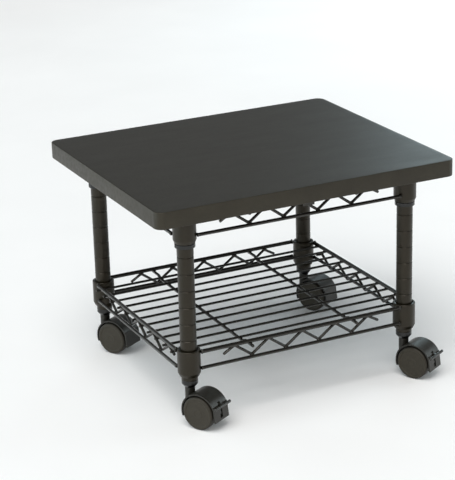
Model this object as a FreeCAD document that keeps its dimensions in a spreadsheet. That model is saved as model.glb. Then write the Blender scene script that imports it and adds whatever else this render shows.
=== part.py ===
import FreeCAD, Part
import math
import os
import Sketcher

from FreeCAD import Placement, Rotation, Vector

# Mobile printer stand: a laminated top on a frame of two welded wire shelves, held by
# tapered sleeves on four grooved posts that roll on twin-wheel casters.
# Frame: origin on the floor in the middle of the footprint, +X to the right along the long
# side, +Y to the back, +Z up. Millimetres.

DRIVING_SIZES = {
    # laminated top
    "board_width": 482.6, "board_depth": 406.4, "board_top": 342.9, "board_thickness": 25.0,
    "board_corner": 13.0, "laminate_thickness": 0.8, "band_thickness": 1.0, "band_ease": 1.0,
    # the parked casters reach further forward than the top, so the top's middle stands
    # behind the middle of the footprint
    "top_shift": 8.2,
    # posts: one-inch grooved tube
    "post_x": 181.0, "post_y": 159.0, "post_radius": 12.1, "post_bore": 10.9,
    "post_bottom": 68.0, "post_top": 315.4,
    "groove_pitch": 25.4, "groove_first": 79.4, "groove_count": 10.0, "shelf_grooves": 8.0,
    "groove_depth": 0.6, "groove_half": 1.1, "groove_floor_half": 0.5,
    # wire shelves
    "shelf_spacing": 203.2, "collar_height": 40.5, "collar_radius": 17.0,
    "collar_chamfer_rise": 5.5, "collar_foot_radius": 14.6, "collar_rim_ease": 0.8,
    "collar_bore_foot": 14.2, "collar_bore_rim": 13.7,
    "rail_radius": 3.1, "low_rail_radius": 2.6, "rail_gap": 25.4,
    "front_offset": 11.5, "side_offset": 14.0,
    "truss_radius": 2.15, "truss_pitch": 55.8, "truss_bend": 5.0, "truss_inset_front": 3.2,
    "truss_inset_side": 4.6, "truss_end_x": 130.0, "truss_end_drop": 9.5,
    "side_truss_end_drop": 6.5,
    "mat_radius": 1.9, "mat_pitch": 27.9, "mat_count": 11.0, "mat_overhang": 3.5,
    "support_radius": 2.4, "support_x": 87.0, "support_overhang": 5.5, "support_bend": 5.0,
    "crank_gap": 5.0, "crank_run": 10.0,
    # sleeves, caps and inserts
    "sleeve_lip_radius": 14.9, "sleeve_lip": 6.3, "sleeve_lip_step": 0.6, "sleeve_top_gap": 1.5,
    "sleeve_angle": 174.0,
    "ridge_reach": 0.5, "ridge_half": 0.45,
    "cap_height": 2.0, "cap_plug": 15.0, "cap_crown": 0.8,
    "insert_foot": 57.0, "insert_shoulder": 62.0, "insert_top": 100.0, "insert_foot_radius": 8.2,
    # brackets that locate the top on the frame
    "bracket_x": 9.5, "bracket_width": 18.0, "bracket_sheet": 1.5, "bracket_drop": 13.9,
    "bracket_flange": 17.5, "bracket_gap": 0.9, "bracket_hole": 2.0, "bracket_hole_shift": 0.7,
    "screw_radius": 1.75, "screw_length": 13.0, "screw_head_radius": 3.6, "screw_head": 2.2,
    # casters
    "caster_turn": 30.0, "trail": 25.0, "wheel_radius": 25.4, "wheel_face": 20.0,
    "wheel_back": 8.6, "wheel_hub_back": 8.3, "wheel_hub_radius": 6.5, "wheel_rim": 3.6,
    "wheel_web": 3.0, "wheel_ease": 2.4, "wheel_dish_radius": 20.5, "wheel_dish": 0.5,
    "axle_radius": 2.5, "axle_half": 18.0, "running_gap": 0.05, "end_gap": 0.3,
    "hood_radius": 29.4, "hood_wall": 2.0, "hood_half": 17.5, "hood_web_half": 8.0,
    "hood_skirt": 9.4, "tail_reach": 30.2, "tail_crease": 14.2, "tail_lean": 3.0,
    "boss_radius": 7.5, "boss_foot": 20.0, "boss_top": 56.4,
    "stem_radius": 4.0, "stem_foot": 22.0, "stem_top": 96.0,
    # brake
    "lever_x": 18.0, "lever_z": 13.0, "lever_half": 2.0, "lever_slot_half": 2.8,
    "lever_hub": 3.6, "lever_bar_x": 31.2, "lever_bar_radius": 2.2, "lever_bar_half": 20.0,
    "lever_leg_drop": 14.0, "lever_leg_x": 26.6, "lever_leg_depth": 3.2,
    "lever_arm_half": 1.8, "lever_leg_lean": 1.4,
    "slot_top": 17.5, "slot_foot": -6.0, "slot_back": 8.0, "pin_radius": 1.5,
}

CORNERS = {
    "front_left": (-1, -1),
    "front_right": (1, -1),
    "rear_left": (-1, 1),
    "rear_right": (1, 1),
}

doc = FreeCAD.newDocument("printer_stand")
sheet = doc.addObject("Spreadsheet::Sheet", "dims")
sub_parts = []


def fill_sheet():
    for row, (name, number) in enumerate(DRIVING_SIZES.items(), start=1):
        sheet.set("A%d" % row, name)
        sheet.set("B%d" % row, str(number))
        sheet.setAlias("B%d" % row, name)
    doc.recompute()


def size(name):
    """Value of one driving size, read back from the sheet."""
    return float(sheet.get(name))


# ---------------------------------------------------------------- drawing helpers


def bind(thing, bindings):
    """Bind properties of an object to expressions over the sheet."""
    for path, text in bindings.items():
        thing.setExpression(path, text)


def new_body(label):
    body = doc.addObject("PartDesign::Body", label)
    body.Label = label
    return body


def new_sketch(body, name, role):
    """A sketch on one of the body's own origin planes."""
    sketch = body.newObject("Sketcher::SketchObject", name)
    for plane in body.Origin.OriginFeatures:
        if plane.Role == role:
            sketch.AttachmentSupport = [(plane, "")]
    sketch.MapMode = "FlatFace"
    return sketch


def worth(sketch, text):
    """Present value of a sheet expression."""
    value = sketch.evalExpression(text)
    return float(getattr(value, "Value", value))


def pin_point(sketch, line, across, up):
    """Fix the first point of a line at an expression distance from the sketch origin."""
    for kind, axis, text in (("DistanceX", -2, across), ("DistanceY", -1, up)):
        if text == "0":
            sketch.addConstraint(Sketcher.Constraint("PointOnObject", line, 1, axis))
        else:
            distance = Sketcher.Constraint(kind, -1, 1, line, 1, worth(sketch, text))
            index = sketch.addConstraint(distance)
            sketch.setExpression("Constraints[%d]" % index, text)


def draw_outline(sketch, corners):
    """Closed outline through corners given as pairs of sheet expressions."""
    points = [Vector(worth(sketch, x), worth(sketch, y), 0) for x, y in corners]
    count = len(points)
    for i in range(count):
        sketch.addGeometry(Part.LineSegment(points[i], points[(i + 1) % count]), False)
    for i in range(count):
        sketch.addConstraint(Sketcher.Constraint("Coincident", i, 2, (i + 1) % count, 1))
    for i, (across, up) in enumerate(corners):
        pin_point(sketch, i, across, up)


def draw_circle(sketch, across, up, radius):
    """Circle whose centre and radius are sheet expressions."""
    centre = Vector(worth(sketch, across), worth(sketch, up), 0)
    circle = Part.Circle(centre, Vector(0, 0, 1), worth(sketch, radius))
    index = sketch.addGeometry(circle, False)
    for kind, axis, text in (("DistanceX", -2, across), ("DistanceY", -1, up)):
        if text == "0":
            sketch.addConstraint(Sketcher.Constraint("PointOnObject", index, 3, axis))
        else:
            distance = Sketcher.Constraint(kind, -1, 1, index, 3, worth(sketch, text))
            row = sketch.addConstraint(distance)
            sketch.setExpression("Constraints[%d]" % row, text)
    row = sketch.addConstraint(Sketcher.Constraint("Radius", index, worth(sketch, radius)))
    sketch.setExpression("Constraints[%d]" % row, radius)


def draw_fixed(sketch, curves):
    """Curves worked out from the sheet, held where they are drawn."""
    for curve in curves:
        index = sketch.addGeometry(curve, False)
        sketch.addConstraint(Sketcher.Constraint("Block", index))


def pad(body, sketch, length, middle=False, back=False):
    feature = body.newObject("PartDesign::Pad", "Pad")
    feature.Profile = sketch
    feature.setExpression("Length", length)
    feature.Midplane = middle
    feature.Reversed = back
    return feature


def pocket(body, sketch, length, middle=False, back=False):
    """Pocket that must take material away, whichever way its sketch faces."""
    doc.recompute()
    before = body.Shape.Volume
    feature = body.newObject("PartDesign::Pocket", "Pocket")
    feature.Profile = sketch
    feature.setExpression("Length", length)
    feature.Midplane = middle
    feature.Reversed = back
    doc.recompute()
    if body.Shape.Volume > before - 0.01:
        raise RuntimeError("pocket cuts nothing in " + body.Label)
    return feature


def revolve(body, sketch, angle="360"):
    feature = body.newObject("PartDesign::Revolution", "Revolution")
    feature.Profile = sketch
    feature.ReferenceAxis = (sketch, ["V_Axis"])
    feature.setExpression("Angle", angle)
    return feature


def turned_body(label, corners, angle="360"):
    """Body turned about its own Z axis from a half section of (radius, height) corners."""
    body = new_body(label)
    sketch = new_sketch(body, "half_section", "XZ_Plane")
    draw_outline(sketch, corners)
    revolve(body, sketch, angle)
    return body


def rod(label, radius, length, direction):
    """Round bar centred on its Placement and lying along a direction."""
    bar = doc.addObject("Part::Cylinder", label)
    bar.Label = label
    bind(bar, {"Radius": radius, "Height": length})
    bar.Placement = Placement(Vector(0, 0, 0), Rotation(Vector(0, 0, 1), direction))
    return bar


def stand_at(thing, x="0", y="0", z="0"):
    """Bind a sub-part's place, given from under the middle of the top, to the sheet."""
    from_origin = "(" + y + ") + dims.top_shift"
    bind(thing, {"Placement.Base.x": x, "Placement.Base.y": from_origin, "Placement.Base.z": z})
    return thing


def group(label, members):
    """One node made of separate solids."""
    compound = doc.addObject("Part::Compound", label)
    compound.Label = label
    compound.Links = members
    return keep(compound)


def keep(thing):
    """List a finished sub-part for export."""
    sub_parts.append(thing)
    return thing


def signed(sign, text):
    """Sheet expression with the sign of a side."""
    return text if sign > 0 else "-(" + text + ")"


def rounded_path(points, radius):
    """Lines through planar points, joined by tangent arcs of one radius."""
    curves = []
    start = points[0]
    for before, corner, after in zip(points, points[1:], points[2:]):
        toward = (before - corner).normalize()
        away = (after - corner).normalize()
        half_angle = toward.getAngle(away) / 2
        reach = radius / math.tan(half_angle)
        first = corner + toward * reach
        last = corner + away * reach
        bisector = (toward + away).normalize()
        centre = corner + bisector * (radius / math.sin(half_angle))
        middle = centre - bisector * radius
        curves.append(Part.LineSegment(start, first))
        curves.append(Part.Arc(first, middle, last))
        start = last
    curves.append(Part.LineSegment(start, points[-1]))
    return curves


def bent_wire(label, points, bend, radius):
    """Wire bent in its body's XZ plane along a path of (across, up) points."""
    body = new_body(label)
    path = new_sketch(body, "centre_line", "XZ_Plane")
    curves = rounded_path([Vector(x, z, 0) for x, z in points], bend)
    draw_fixed(path, curves)
    doc.recompute()
    section = body.newObject("Sketcher::SketchObject", "section")
    section.AttachmentSupport = [(path, "Edge1")]
    section.MapMode = "NormalToEdge"
    section.MapPathParameter = 0.0
    draw_circle(section, "0", "0", radius)
    pipe = body.newObject("PartDesign::AdditivePipe", "Pipe")
    pipe.Profile = section
    pipe.Spine = (path, ["Edge%d" % (i + 1) for i in range(len(curves))])
    return body


# ---------------------------------------------------------------- laminated top


def board_outline(sketch, inset):
    """Rectangle of the top, drawn in by an expression."""
    across = "dims.board_width / 2 - " + inset
    along = "dims.board_depth / 2 - " + inset
    signs = ((-1, -1), (1, -1), (1, 1), (-1, 1))
    draw_outline(sketch, [(signed(sx, across), signed(sy, along)) for sx, sy in signs])


def upright_edges(shape):
    """Names of the straight edges that run along Z."""
    names = []
    for index, edge in enumerate(shape.Edges, start=1):
        box = edge.BoundBox
        if box.ZLength > 0.1 and box.XLength < 1e-6 and box.YLength < 1e-6:
            names.append("Edge%d" % index)
    return names


def slab(label, inset, thickness):
    """Rounded rectangular sheet of the top."""
    body = new_body(label)
    outline = new_sketch(body, "outline", "XY_Plane")
    board_outline(outline, inset)
    sheet_pad = pad(body, outline, thickness)
    doc.recompute()
    fillet = body.newObject("PartDesign::Fillet", "Corners")
    fillet.Base = (sheet_pad, upright_edges(sheet_pad.Shape))
    fillet.setExpression("Radius", "dims.board_corner - " + inset)
    return body


def make_board():
    core_thickness = "dims.board_thickness - dims.laminate_thickness"
    core = slab("board_core", "dims.band_thickness", core_thickness)
    pilots = new_sketch(core, "pilot_holes", "XY_Plane")
    for side in (-1, 1):
        draw_circle(pilots, signed(-side, "dims.bracket_x"), signed(side, bracket_screw_y()),
                    "dims.screw_radius")
    pocket(core, pilots, "dims.screw_length + 1", back=True)
    keep(stand_at(core, z="dims.board_top - dims.board_thickness"))

    laminate = slab("board_top_laminate", "dims.band_thickness", "dims.laminate_thickness")
    keep(stand_at(laminate, z="dims.board_top - dims.laminate_thickness"))

    band = slab("board_edge_band", "0", "dims.board_thickness")
    doc.recompute()
    solid = band.Tip
    top_edges = []
    for index, edge in enumerate(solid.Shape.Edges, start=1):
        if edge.BoundBox.ZMin > size("board_thickness") - 1e-6:
            top_edges.append("Edge%d" % index)
    ease = band.newObject("PartDesign::Chamfer", "EasedTop")
    ease.Base = (solid, top_edges)
    ease.setExpression("Size", "dims.band_ease / 2")
    opening = new_sketch(band, "opening", "XY_Plane")
    corner = size("board_corner") - size("band_thickness")
    half_x = size("board_width") / 2 - size("band_thickness")
    half_y = size("board_depth") / 2 - size("band_thickness")
    draw_fixed(opening, rounded_rectangle(half_x, half_y, corner))
    pocket(band, opening, "dims.board_thickness", back=True)
    keep(stand_at(band, z="dims.board_top - dims.board_thickness"))


def rounded_rectangle(half_x, half_y, radius):
    """Lines and corner arcs of a rounded rectangle about the origin."""
    curves = []
    for turn in range(4):
        angle = turn * math.pi / 2
        reach_x, reach_y = (half_x, half_y) if turn % 2 == 0 else (half_y, half_x)
        start = Vector(reach_x, -(reach_y - radius), 0)
        end = Vector(reach_x, reach_y - radius, 0)
        centre = Vector(reach_x - radius, reach_y - radius, 0)
        middle = centre + Vector(radius, radius, 0) * math.sqrt(0.5)
        last = centre + Vector(0, radius, 0)
        spin = Rotation(Vector(0, 0, 1), math.degrees(angle))
        curves.append(Part.LineSegment(spin.multVec(start), spin.multVec(end)))
        curves.append(Part.Arc(spin.multVec(end), spin.multVec(middle), spin.multVec(last)))
    return curves


# ---------------------------------------------------------------- posts


def make_post(corner, sx, sy):
    post = turned_body("post_" + corner, [
        ("dims.post_bore", "dims.post_bottom"),
        ("dims.post_radius", "dims.post_bottom"),
        ("dims.post_radius", "dims.post_top"),
        ("dims.post_bore", "dims.post_top"),
    ])
    cutter = new_sketch(post, "groove_section", "XZ_Plane")
    floor = "dims.post_radius - dims.groove_depth"
    outside = "dims.post_radius + 0.2"
    draw_outline(cutter, [
        (floor, "dims.groove_first - dims.groove_floor_half"),
        (outside, "dims.groove_first - dims.groove_half"),
        (outside, "dims.groove_first + dims.groove_half"),
        (floor, "dims.groove_first + dims.groove_floor_half"),
    ])
    groove = post.newObject("PartDesign::Groove", "Groove")
    groove.Profile = cutter
    groove.ReferenceAxis = (cutter, ["V_Axis"])
    groove.Angle = 360.0
    doc.recompute()
    rows = post.newObject("PartDesign::LinearPattern", "GrooveRows")
    rows.Originals = [groove]
    rows.Direction = (cutter, ["V_Axis"])
    rows.setExpression("Length", "dims.groove_pitch * (dims.groove_count - 1)")
    rows.setExpression("Occurrences", "dims.groove_count")
    post.Tip = rows
    stand_at(post, signed(sx, "dims.post_x"), signed(sy, "dims.post_y"))
    return keep(post)


def at_each_post(label, corners, z, angle="360", halves=False):
    """Turned pieces, one or two to a post, as one node."""
    members = []
    for corner, (sx, sy) in CORNERS.items():
        for half in ((0, 1) if halves else (0,)):
            piece = turned_body("%s_%s_%d" % (label, corner, half), corners, angle)
            piece.Placement = Placement(Vector(), Rotation(Vector(0, 0, 1), 180.0 * half))
            stand_at(piece, signed(sx, "dims.post_x"), signed(sy, "dims.post_y"), z)
            members.append(piece)
    return group(label, members)


def make_post_ends():
    at_each_post("post_top_caps", [
        ("0", "-(dims.cap_plug)"),
        ("dims.post_bore", "-(dims.cap_plug)"),
        ("dims.post_bore", "0"),
        ("dims.post_radius", "0"),
        ("dims.post_radius", "dims.cap_height - dims.cap_crown"),
        ("dims.post_radius - 2 * dims.cap_crown", "dims.cap_height"),
        ("0", "dims.cap_height"),
    ], "dims.post_top")
    at_each_post("post_end_inserts", [
        ("dims.stem_radius", "dims.insert_foot"),
        ("dims.insert_foot_radius", "dims.insert_foot"),
        ("dims.post_radius", "dims.insert_shoulder"),
        ("dims.post_radius", "dims.post_bottom"),
        ("dims.post_bore", "dims.post_bottom"),
        ("dims.post_bore", "dims.insert_top"),
        ("dims.stem_radius", "dims.insert_top"),
    ], "0")


# ---------------------------------------------------------------- wire shelves


def collar_foot(shelf):
    """Height of the bottom of a shelf's collars."""
    upper = "dims.board_top - dims.board_thickness - dims.collar_height"
    return upper if shelf == "upper" else upper + " - dims.shelf_spacing"


def rail_level(shelf):
    """Height of the centre line of a shelf's top rails."""
    return collar_foot(shelf) + " + dims.collar_height - dims.rail_radius"


def make_collars(shelf):
    at_each_post(shelf + "_shelf_collars", [
        ("dims.collar_bore_foot", "0"),
        ("dims.collar_foot_radius", "0"),
        ("dims.collar_radius", "dims.collar_chamfer_rise"),
        ("dims.collar_radius", "dims.collar_height - dims.collar_rim_ease"),
        ("dims.collar_radius - dims.collar_rim_ease", "dims.collar_height"),
        ("dims.collar_bore_rim", "dims.collar_height"),
    ], collar_foot(shelf))


def make_sleeves(shelf):
    """Two tapered half sleeves in each collar, with a ridge in a post groove."""
    lip = "dims.sleeve_lip" if shelf == "upper" else "0"
    lip_radius = "dims.sleeve_lip_radius" if shelf == "upper" else "dims.collar_bore_foot"
    groove = ("dims.groove_first" if shelf == "lower"
              else "dims.groove_first + dims.shelf_grooves * dims.groove_pitch")
    ridge = groove + " + dims.groove_pitch - (" + collar_foot(shelf) + ")"
    tip = "dims.post_radius - dims.ridge_reach"
    top = "dims.collar_height - dims.sleeve_top_gap"
    top_radius = ("dims.collar_bore_foot - (dims.collar_bore_foot - dims.collar_bore_rim)"
                  " * (" + top + ") / dims.collar_height")
    corners = [
        ("dims.post_radius", signed(-1, lip) if shelf == "upper" else "0"),
        (lip_radius, signed(-1, lip) if shelf == "upper" else "0"),
    ]
    if shelf == "upper":
        corners.append((lip_radius, "-(dims.sleeve_lip_step)"))
    corners += [
        ("dims.collar_bore_foot", "0"),
        (top_radius, top),
        ("dims.post_radius", top),
        ("dims.post_radius", ridge + " + 2 * dims.ridge_half"),
        (tip, ridge + " + dims.ridge_half"),
        (tip, ridge + " - dims.ridge_half"),
        ("dims.post_radius", ridge + " - 2 * dims.ridge_half"),
    ]
    if shelf == "lower":
        corners.remove(("dims.collar_bore_foot", "0"))
    at_each_post(shelf + "_shelf_sleeves", corners, collar_foot(shelf),
                 "dims.sleeve_angle", halves=True)


def collar_cutters(shelf):
    """Plain cylinders the size of a shelf's collars, which cope the rail ends."""
    cutters = []
    for corner, (sx, sy) in CORNERS.items():
        cutter = doc.addObject("Part::Cylinder", "cope_%s_%s" % (shelf, corner))
        bind(cutter, {"Radius": "dims.collar_radius", "Height": "dims.collar_height"})
        stand_at(cutter, signed(sx, "dims.post_x"), signed(sy, "dims.post_y"),
                 collar_foot(shelf))
        cutters.append(cutter)
    tool = doc.addObject("Part::Compound", "cope_" + shelf)
    tool.Links = cutters
    return tool


def make_rails(shelf, label, radius, drop, cutter):
    """Four rails between the collars, coped to the collar walls."""
    level = rail_level(shelf) + " - " + drop
    front_y = "dims.post_y + dims.front_offset"
    side_x = "dims.post_x + dims.side_offset"
    members = []
    for side in (-1, 1):
        along_x = rod("%s_x%d" % (label, side), radius, "2 * dims.post_x", Vector(1, 0, 0))
        stand_at(along_x, "-dims.post_x", signed(side, front_y), level)
        along_y = rod("%s_y%d" % (label, side), radius, "2 * dims.post_y", Vector(0, 1, 0))
        stand_at(along_y, signed(side, side_x), "-dims.post_y", level)
        for bar in (along_x, along_y):
            coped = doc.addObject("Part::Cut", bar.Name + "_coped")
            coped.Base = bar
            coped.Tool = cutter
            members.append(coped)
    group(label, members)


def zigzag(top, bottom, end_reach, end_level):
    """Points of a truss wire: five top bends, four bottom bends and two free ends."""
    half_pitch = size("truss_pitch") / 2
    points = [(-end_reach, end_level)]
    for step in range(-4, 5):
        points.append((step * half_pitch, top if step % 2 == 0 else bottom))
    points.append((end_reach, end_level))
    return points


def make_trusses(shelf):
    """Zigzag wires that tie the top rails to the low rails on all four sides.

    The front and rear wires touch both rails from inside. The side wires touch the
    undersides of the mat wires and the inner sides of the low rails.
    """
    wire = size("truss_radius")
    gap = size("rail_gap")
    front_inset = size("truss_inset_front")
    side_inset = size("truss_inset_side")
    rail_reach = size("rail_radius") + wire
    low_reach = size("low_rail_radius") + wire
    front_top = -math.sqrt(rail_reach ** 2 - front_inset ** 2)
    front_bottom = -gap + math.sqrt(low_reach ** 2 - front_inset ** 2)
    side_top = -(size("rail_radius") + 2 * size("mat_radius") + wire)
    side_bottom = -gap + math.sqrt(low_reach ** 2 - side_inset ** 2)
    bend = size("truss_bend")
    for side, name in ((-1, "front"), (1, "rear")):
        points = zigzag(*stretch(front_top, front_bottom, bend),
                        size("truss_end_x"), front_top - size("truss_end_drop"))
        body = bent_wire("%s_shelf_truss_%s" % (shelf, name), points, bend,
                         "dims.truss_radius")
        stand_at(body, "0", signed(side, "dims.post_y + dims.front_offset"
                                         " - dims.truss_inset_front"), rail_level(shelf))
        keep(body)
    for side, name in ((-1, "left"), (1, "right")):
        points = zigzag(*stretch(side_top, side_bottom, bend),
                        size("truss_end_x"), side_top - size("side_truss_end_drop"))
        body = bent_wire("%s_shelf_truss_%s" % (shelf, name), points, bend,
                         "dims.truss_radius")
        body.Placement = Placement(Vector(), Rotation(Vector(0, 0, 1), 90.0))
        stand_at(body, signed(side, "dims.post_x + dims.side_offset"
                                    " - dims.truss_inset_side"), "0", rail_level(shelf))
        keep(body)


def stretch(top, bottom, bend):
    """Corner levels whose rounded bends reach exactly to the wanted levels."""
    half_pitch = size("truss_pitch") / 2
    rise = top - bottom
    extra = 0.0
    for _ in range(20):
        slope = math.atan2(rise + 2 * extra, half_pitch)
        extra = bend * (1 / math.cos(slope) - 1)
    return top + extra, bottom - extra


def make_mat(shelf):
    """Mat wires across the shelf under its side rails."""
    count = int(size("mat_count"))
    overhang = "dims.post_x + dims.side_offset + dims.rail_radius + dims.mat_overhang"
    members = []
    for row in range(count):
        wire = rod("%s_mat_%d" % (shelf, row), "dims.mat_radius", "2 * (%s)" % overhang,
                   Vector(1, 0, 0))
        stand_at(wire, "-(%s)" % overhang, "dims.mat_pitch * (%d - (dims.mat_count - 1) / 2)" % row,
                 rail_level(shelf) + " - dims.rail_radius - dims.mat_radius")
        members.append(wire)
    group(shelf + "_shelf_mat_wires", members)


def make_supports(shelf):
    """Two wires from front to back under the mat, cranked up to the end rails."""
    low = -(size("rail_radius") + 2 * size("mat_radius") + size("support_radius"))
    high = -(size("rail_radius") + size("support_radius"))
    reach = (size("post_y") + size("front_offset") + size("rail_radius")
             + size("support_overhang"))
    last_mat = size("mat_pitch") * (size("mat_count") - 1) / 2
    crank_foot = last_mat + size("crank_gap")
    crank_top = crank_foot + size("crank_run")
    points = [(-reach, high), (-crank_top, high), (-crank_foot, low),
              (crank_foot, low), (crank_top, high), (reach, high)]
    members = []
    for side in (-1, 1):
        wire = bent_wire("%s_support_%d" % (shelf, side), points, size("support_bend"),
                         "dims.support_radius")
        wire.Placement = Placement(Vector(), Rotation(Vector(0, 0, 1), 90.0))
        stand_at(wire, signed(side, "dims.support_x"), "0", rail_level(shelf))
        members.append(wire)
    group(shelf + "_shelf_support_wires", members)


def make_shelf(shelf):
    make_collars(shelf)
    make_sleeves(shelf)
    cutter = collar_cutters(shelf)
    make_rails(shelf, shelf + "_shelf_top_rails", "dims.rail_radius", "0", cutter)
    make_rails(shelf, shelf + "_shelf_low_rails", "dims.low_rail_radius", "dims.rail_gap", cutter)
    make_trusses(shelf)
    make_mat(shelf)
    make_supports(shelf)


# ---------------------------------------------------------------- locating brackets


def bracket_front():
    """Distance from the middle to the inner face of a bracket's leg."""
    return "dims.post_y + dims.front_offset + dims.rail_radius + dims.bracket_gap"


def bracket_screw_y():
    """Distance from the middle to a bracket's screw."""
    return "(" + bracket_front() + " + dims.bracket_flange / 2 + dims.bracket_hole_shift)"


def make_brackets():
    """Two angles screwed under the top, one in front of each long top rail."""
    brackets = []
    screws = []
    for side in (-1, 1):
        turn = Placement(Vector(), Rotation(Vector(0, 0, 1), 0.0 if side > 0 else 180.0))
        angle = new_body("bracket_%d" % side)
        section = new_sketch(angle, "section", "YZ_Plane")
        inner = bracket_front()
        draw_outline(section, [
            (inner, "0"),
            (inner + " + dims.bracket_flange", "0"),
            (inner + " + dims.bracket_flange", "-dims.bracket_sheet"),
            (inner + " + dims.bracket_sheet", "-dims.bracket_sheet"),
            (inner + " + dims.bracket_sheet", "-dims.bracket_drop"),
            (inner, "-dims.bracket_drop"),
        ])
        pad(angle, section, "dims.bracket_width", middle=True)
        hole = new_sketch(angle, "screw_hole", "XY_Plane")
        draw_circle(hole, "0", bracket_screw_y(), "dims.bracket_hole")
        pocket(angle, hole, "4 * dims.bracket_sheet", middle=True)
        angle.Placement = turn
        stand_at(angle, signed(-side, "dims.bracket_x"), "0",
                 "dims.board_top - dims.board_thickness")
        brackets.append(angle)

        screw = turned_body("screw_%d" % side, [
            ("0", "-(dims.screw_head)"),
            ("dims.screw_head_radius - 0.8", "-(dims.screw_head)"),
            ("dims.screw_head_radius", "-(dims.screw_head) + 1"),
            ("dims.screw_head_radius", "0"),
            ("dims.screw_radius", "0"),
            ("dims.screw_radius", "dims.screw_length"),
            ("0", "dims.screw_length + 1.2"),
        ])
        stand_at(screw, signed(-side, "dims.bracket_x"), signed(side, bracket_screw_y()),
                 "dims.board_top - dims.board_thickness - dims.bracket_sheet")
        screws.append(screw)
    group("board_brackets", brackets)
    group("board_bracket_screws", screws)


# ---------------------------------------------------------------- casters
# A caster is drawn in its own frame: Z is the stem axis, +X the way it trails and
# +Y along the axle. caster_turn sets how far the axle is turned from the stand's X.


def caster_place(sx, sy, forward=0.0, rise=0.0, tilt=None):
    """Placement of a piece of a caster that stands forward of the stem by some distance."""
    turn = Rotation(Vector(0, 0, 1), size("caster_turn") - 90.0)
    base = Vector(sx * size("post_x"), sy * size("post_y") + size("top_shift"), rise)
    base = base + turn.multVec(Vector(forward, 0, 0))
    return Placement(base, turn.multiply(tilt) if tilt else turn)


def hood_profile(grow):
    """Side view of the hood: a round arch, a crease and a leaning tail, grown by a distance.

    Centred on the axle, with the flat bottom at the level of the skirt.
    """
    radius = size("hood_radius") + grow
    skirt = -size("hood_skirt")
    crease = size("tail_crease") + grow
    foot = Vector(size("tail_reach") + grow, skirt, 0)
    heel = Vector(-math.sqrt(radius ** 2 - skirt ** 2), skirt, 0)
    lean = Vector(-size("tail_lean"), size("tail_crease") - skirt, 0).normalize()
    if grow < 0:
        # the inner face of the tail runs up until it meets the arch
        along = foot.dot(lean)
        rise = -along + math.sqrt(along ** 2 - foot.Length ** 2 + radius ** 2)
        shoulder = foot + lean * rise
        arch_end = shoulder
        lines = [Part.LineSegment(shoulder, foot)]
    else:
        shoulder = Vector(size("tail_reach") - size("tail_lean"), crease, 0)
        arch_end = Vector(math.sqrt(radius ** 2 - crease ** 2), crease, 0)
        lines = [Part.LineSegment(arch_end, shoulder), Part.LineSegment(shoulder, foot)]
    arch = Part.Arc(heel, Vector(0, radius, 0), arch_end)
    return [arch] + lines + [Part.LineSegment(foot, heel)]


def moved(curves, offset):
    """The same curves shifted in their plane."""
    for curve in curves:
        curve.translate(offset)
    return curves


def make_hood(corner, sx, sy, braked):
    """Moulded hood: an arch over both wheels, a middle web and the stem boss."""
    hood = new_body("caster_hood_" + corner)
    axle = Vector(size("trail"), size("wheel_radius"), 0)
    arch = new_sketch(hood, "arch", "XZ_Plane")
    draw_fixed(arch, moved(hood_profile(0.0), axle))
    pad(hood, arch, "2 * dims.hood_half", middle=True)
    wells = new_sketch(hood, "wheel_wells", "XZ_Plane")
    draw_fixed(wells, moved(hood_profile(-size("hood_wall")), axle))
    pocket(hood, wells, "3 * dims.hood_half", middle=True)
    web = new_sketch(hood, "web", "XZ_Plane")
    draw_fixed(web, moved(hood_profile(0.0), axle))
    pad(hood, web, "2 * dims.hood_web_half", middle=True)
    doc.recompute()
    boss = new_sketch(hood, "boss", "XY_Plane")
    boss.AttachmentOffset = Placement(Vector(0, 0, size("boss_foot")), Rotation())
    draw_circle(boss, "0", "0", "dims.boss_radius")
    pad(hood, boss, "dims.boss_top - dims.boss_foot")
    doc.recompute()
    socket = new_sketch(hood, "stem_socket", "XY_Plane")
    socket.AttachmentOffset = Placement(Vector(0, 0, size("boss_top")), Rotation())
    draw_circle(socket, "0", "0", "dims.stem_radius + dims.running_gap")
    pocket(hood, socket, "dims.boss_top - dims.stem_foot + dims.end_gap")
    axle_hole = new_sketch(hood, "axle_hole", "XZ_Plane")
    draw_circle(axle_hole, "dims.trail", "dims.wheel_radius", "dims.axle_radius")
    pocket(hood, axle_hole, "3 * dims.hood_half", middle=True)
    if braked:
        slot = new_sketch(hood, "lever_slot", "XZ_Plane")
        back = "dims.trail + dims.slot_back"
        mouth = "dims.trail + dims.tail_reach + 1"
        foot = "dims.wheel_radius + dims.slot_foot"
        head = "dims.wheel_radius + dims.slot_top"
        draw_outline(slot, [(back, foot), (mouth, foot), (mouth, head), (back, head)])
        pocket(hood, slot, "2 * dims.lever_slot_half", middle=True)
        pin_hole = new_sketch(hood, "pin_hole", "XZ_Plane")
        draw_circle(pin_hole, "dims.trail + dims.lever_x", "dims.wheel_radius + dims.lever_z",
                    "dims.pin_radius")
        pocket(hood, pin_hole, "3 * dims.hood_half", middle=True)
    hood.Placement = caster_place(sx, sy)
    keep(hood)


def make_stem(corner, sx, sy):
    stem = turned_body("caster_stem_" + corner, [
        ("0", "dims.stem_foot"),
        ("dims.stem_radius - 0.6", "dims.stem_foot"),
        ("dims.stem_radius", "dims.stem_foot + 0.6"),
        ("dims.stem_radius", "dims.stem_top - 1.5"),
        ("dims.stem_radius - 1.5", "dims.stem_top"),
        ("0", "dims.stem_top"),
    ])
    keep(stand_at(stem, signed(sx, "dims.post_x"), signed(sy, "dims.post_y")))


def make_axle(corner, sx, sy):
    axle = rod("caster_axle_" + corner, "dims.axle_radius", "2 * dims.axle_half", Vector(0, 0, 1))
    tilt = Rotation(Vector(1, 0, 0), -90.0)
    place = caster_place(sx, sy, size("trail"), size("wheel_radius"), tilt)
    place.Base = place.Base - place.Rotation.multVec(Vector(0, 0, size("axle_half")))
    axle.Placement = place
    keep(axle)


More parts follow.
